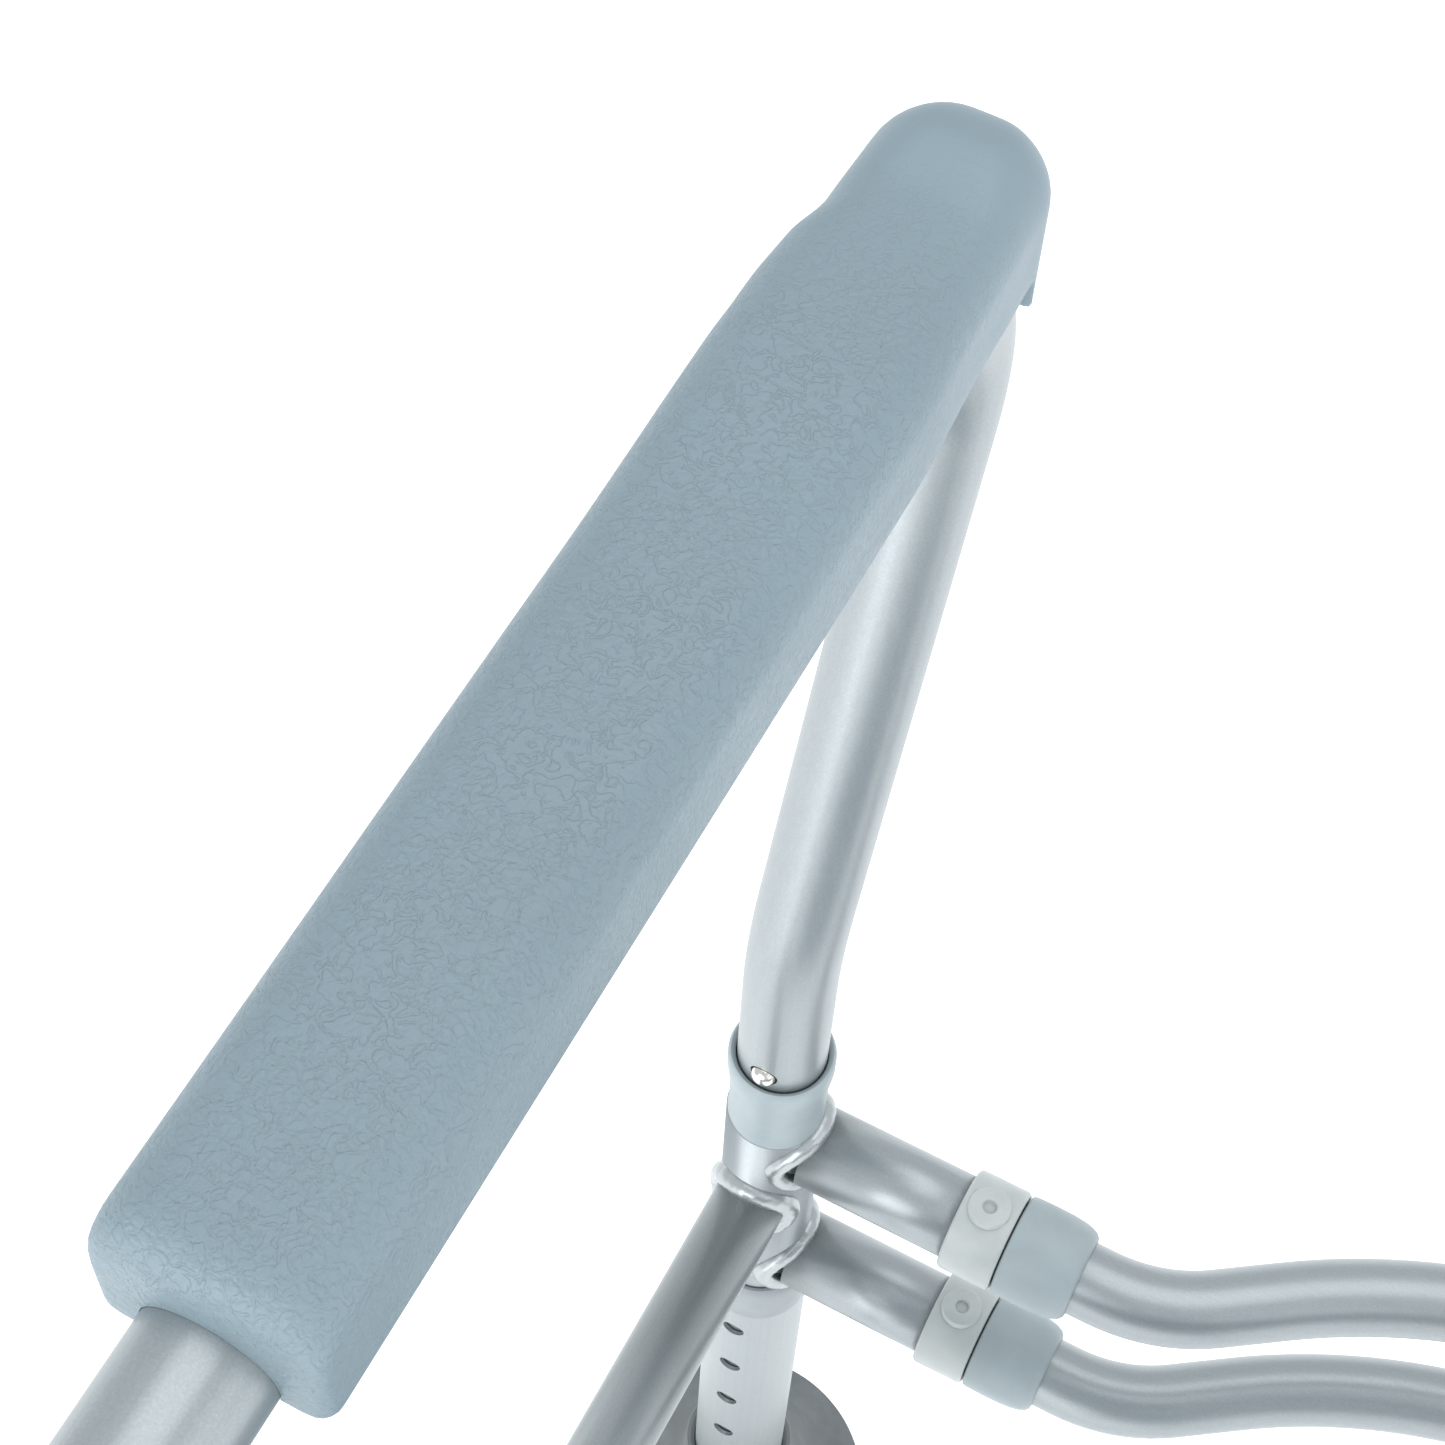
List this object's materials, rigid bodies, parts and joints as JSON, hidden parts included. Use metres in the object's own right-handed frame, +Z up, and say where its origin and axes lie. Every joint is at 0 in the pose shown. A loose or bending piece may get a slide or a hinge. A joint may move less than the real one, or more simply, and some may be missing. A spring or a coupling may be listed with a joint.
{
  "type": "shower stool",
  "caption": "Shower stool: aluminium tube frame with padded seat, lift-out padded armrests, bowed crossbars and height-adjustable legs on wide rubber feet.",
  "frame": {"origin": "centre of the bounding box, on the floor plane under the feet", "axes": "+Z up, front of the stool towards -Y, sitter's left towards +X"},
  "size_m": [0.5444, 0.4568, 0.6053],
  "materials": {
    "satin_aluminium": "satin anodised tube with a fine sparkle",
    "blue_grey_plastic": "satin moulded collar plastic",
    "milky_plastic": "milky light-grey moulded plastic",
    "blue_grey_foam": "integral-skin foam with a wrinkled leather grain",
    "grey_rubber": "dull grey moulded rubber",
    "bright_steel": "bright spring button",
    "grey_board": "plain moulded board"
  },
  "bodies": {
    "frame": {"side_frame_left": "satin_aluminium", "side_frame_right": "satin_aluminium", "crossbar_front_upper": "satin_aluminium", "crossbar_front_lower": "satin_aluminium", "crossbar_rear_upper": "satin_aluminium", "crossbar_rear_lower": "satin_aluminium", "crossbar_collar_front_upper_left": "blue_grey_plastic", "locking_ring_front_upper_left": "milky_plastic", "crossbar_collar_front_upper_right": "blue_grey_plastic", "locking_ring_front_upper_right": "milky_plastic", "crossbar_collar_front_lower_left": "blue_grey_plastic", "locking_ring_front_lower_left": "milky_plastic", "crossbar_collar_front_lower_right": "blue_grey_plastic", "locking_ring_front_lower_right": "milky_plastic", "crossbar_collar_rear_upper_left": "blue_grey_plastic", "locking_ring_rear_upper_left": "milky_plastic", "crossbar_collar_rear_upper_right": "blue_grey_plastic", "locking_ring_rear_upper_right": "milky_plastic", "crossbar_collar_rear_lower_left": "blue_grey_plastic", "locking_ring_rear_lower_left": "milky_plastic", "crossbar_collar_rear_lower_right": "blue_grey_plastic", "locking_ring_rear_lower_right": "milky_plastic", "arm_socket_collar_front_left": "blue_grey_plastic", "arm_socket_collar_front_right": "blue_grey_plastic", "arm_socket_collar_rear_left": "blue_grey_plastic", "arm_socket_collar_rear_right": "blue_grey_plastic", "seat_tube_front": "satin_aluminium", "seat_tube_rear": "satin_aluminium", "seat_saddle_front_left": "blue_grey_plastic", "seat_saddle_front_right": "blue_grey_plastic", "seat_saddle_rear_left": "blue_grey_plastic", "seat_saddle_rear_right": "blue_grey_plastic", "seat_board": "grey_board", "seat_cushion": "blue_grey_foam"},
    "leg_front_left": {"leg_tube_front_left": "satin_aluminium", "leg_collar_front_left": "blue_grey_plastic", "foot_front_left": "grey_rubber"},
    "leg_front_right": {"leg_tube_front_right": "satin_aluminium", "leg_collar_front_right": "blue_grey_plastic", "foot_front_right": "grey_rubber"},
    "leg_rear_left": {"leg_tube_rear_left": "satin_aluminium", "leg_collar_rear_left": "blue_grey_plastic", "foot_rear_left": "grey_rubber"},
    "leg_rear_right": {"leg_tube_rear_right": "satin_aluminium", "leg_collar_rear_right": "blue_grey_plastic", "foot_rear_right": "grey_rubber"},
    "arm_left": {"arm_tube_left": "satin_aluminium", "arm_pad_left": "blue_grey_foam"},
    "arm_right": {"arm_tube_right": "satin_aluminium", "arm_pad_right": "blue_grey_foam"},
    "leg_button_front_left": {"leg_button_front_left": "bright_steel"},
    "arm_button_front_left": {"arm_button_front_left": "bright_steel"},
    "leg_button_front_right": {"leg_button_front_right": "bright_steel"},
    "arm_button_front_right": {"arm_button_front_right": "bright_steel"},
    "leg_button_rear_left": {"leg_button_rear_left": "bright_steel"},
    "arm_button_rear_left": {"arm_button_rear_left": "bright_steel"},
    "leg_button_rear_right": {"leg_button_rear_right": "bright_steel"},
    "arm_button_rear_right": {"arm_button_rear_right": "bright_steel"}
  },
  "joints": [
    {"name": "leg_slide_front_left", "type": "slide", "parent": "frame", "child": "leg_front_left", "axis": [0, 0, -1], "range_m": [0, 0.114], "deforming": ["leg_button_front_left"]},
    {"name": "leg_slide_front_right", "type": "slide", "parent": "frame", "child": "leg_front_right", "axis": [0, 0, -1], "range_m": [0, 0.114], "deforming": ["leg_button_front_right"]},
    {"name": "leg_slide_rear_left", "type": "slide", "parent": "frame", "child": "leg_rear_left", "axis": [0, 0, -1], "range_m": [0, 0.114], "deforming": ["leg_button_rear_left"]},
    {"name": "leg_slide_rear_right", "type": "slide", "parent": "frame", "child": "leg_rear_right", "axis": [0, 0, -1], "range_m": [0, 0.114], "deforming": ["leg_button_rear_right"]},
    {"name": "arm_lift_left", "type": "slide", "parent": "frame", "child": "arm_left", "axis": [0, 0, 1], "range_m": [0, 0.1]},
    {"name": "arm_lift_right", "type": "slide", "parent": "frame", "child": "arm_right", "axis": [0, 0, 1], "range_m": [0, 0.1]},
    {"name": "leg_button_press_front_left", "type": "slide", "parent": "frame", "child": "leg_button_front_left", "axis": [0, -1, 0], "range_m": [0, 0.004], "stiffness_N_per_m": 150},
    {"name": "arm_button_press_front_left", "type": "slide", "parent": "arm_left", "child": "arm_button_front_left", "axis": [0, -1, 0], "range_m": [0, 0.003], "stiffness_N_per_m": 150},
    {"name": "leg_button_press_front_right", "type": "slide", "parent": "frame", "child": "leg_button_front_right", "axis": [0, -1, 0], "range_m": [0, 0.004], "stiffness_N_per_m": 150},
    {"name": "arm_button_press_front_right", "type": "slide", "parent": "arm_right", "child": "arm_button_front_right", "axis": [0, -1, 0], "range_m": [0, 0.003], "stiffness_N_per_m": 150},
    {"name": "leg_button_press_rear_left", "type": "slide", "parent": "frame", "child": "leg_button_rear_left", "axis": [0, 1, 0], "range_m": [0, 0.004], "stiffness_N_per_m": 150},
    {"name": "arm_button_press_rear_left", "type": "slide", "parent": "arm_left", "child": "arm_button_rear_left", "axis": [0, 1, 0], "range_m": [0, 0.003], "stiffness_N_per_m": 150},
    {"name": "leg_button_press_rear_right", "type": "slide", "parent": "frame", "child": "leg_button_rear_right", "axis": [0, 1, 0], "range_m": [0, 0.004], "stiffness_N_per_m": 150},
    {"name": "arm_button_press_rear_right", "type": "slide", "parent": "arm_right", "child": "arm_button_rear_right", "axis": [0, 1, 0], "range_m": [0, 0.003], "stiffness_N_per_m": 150}
  ]
}
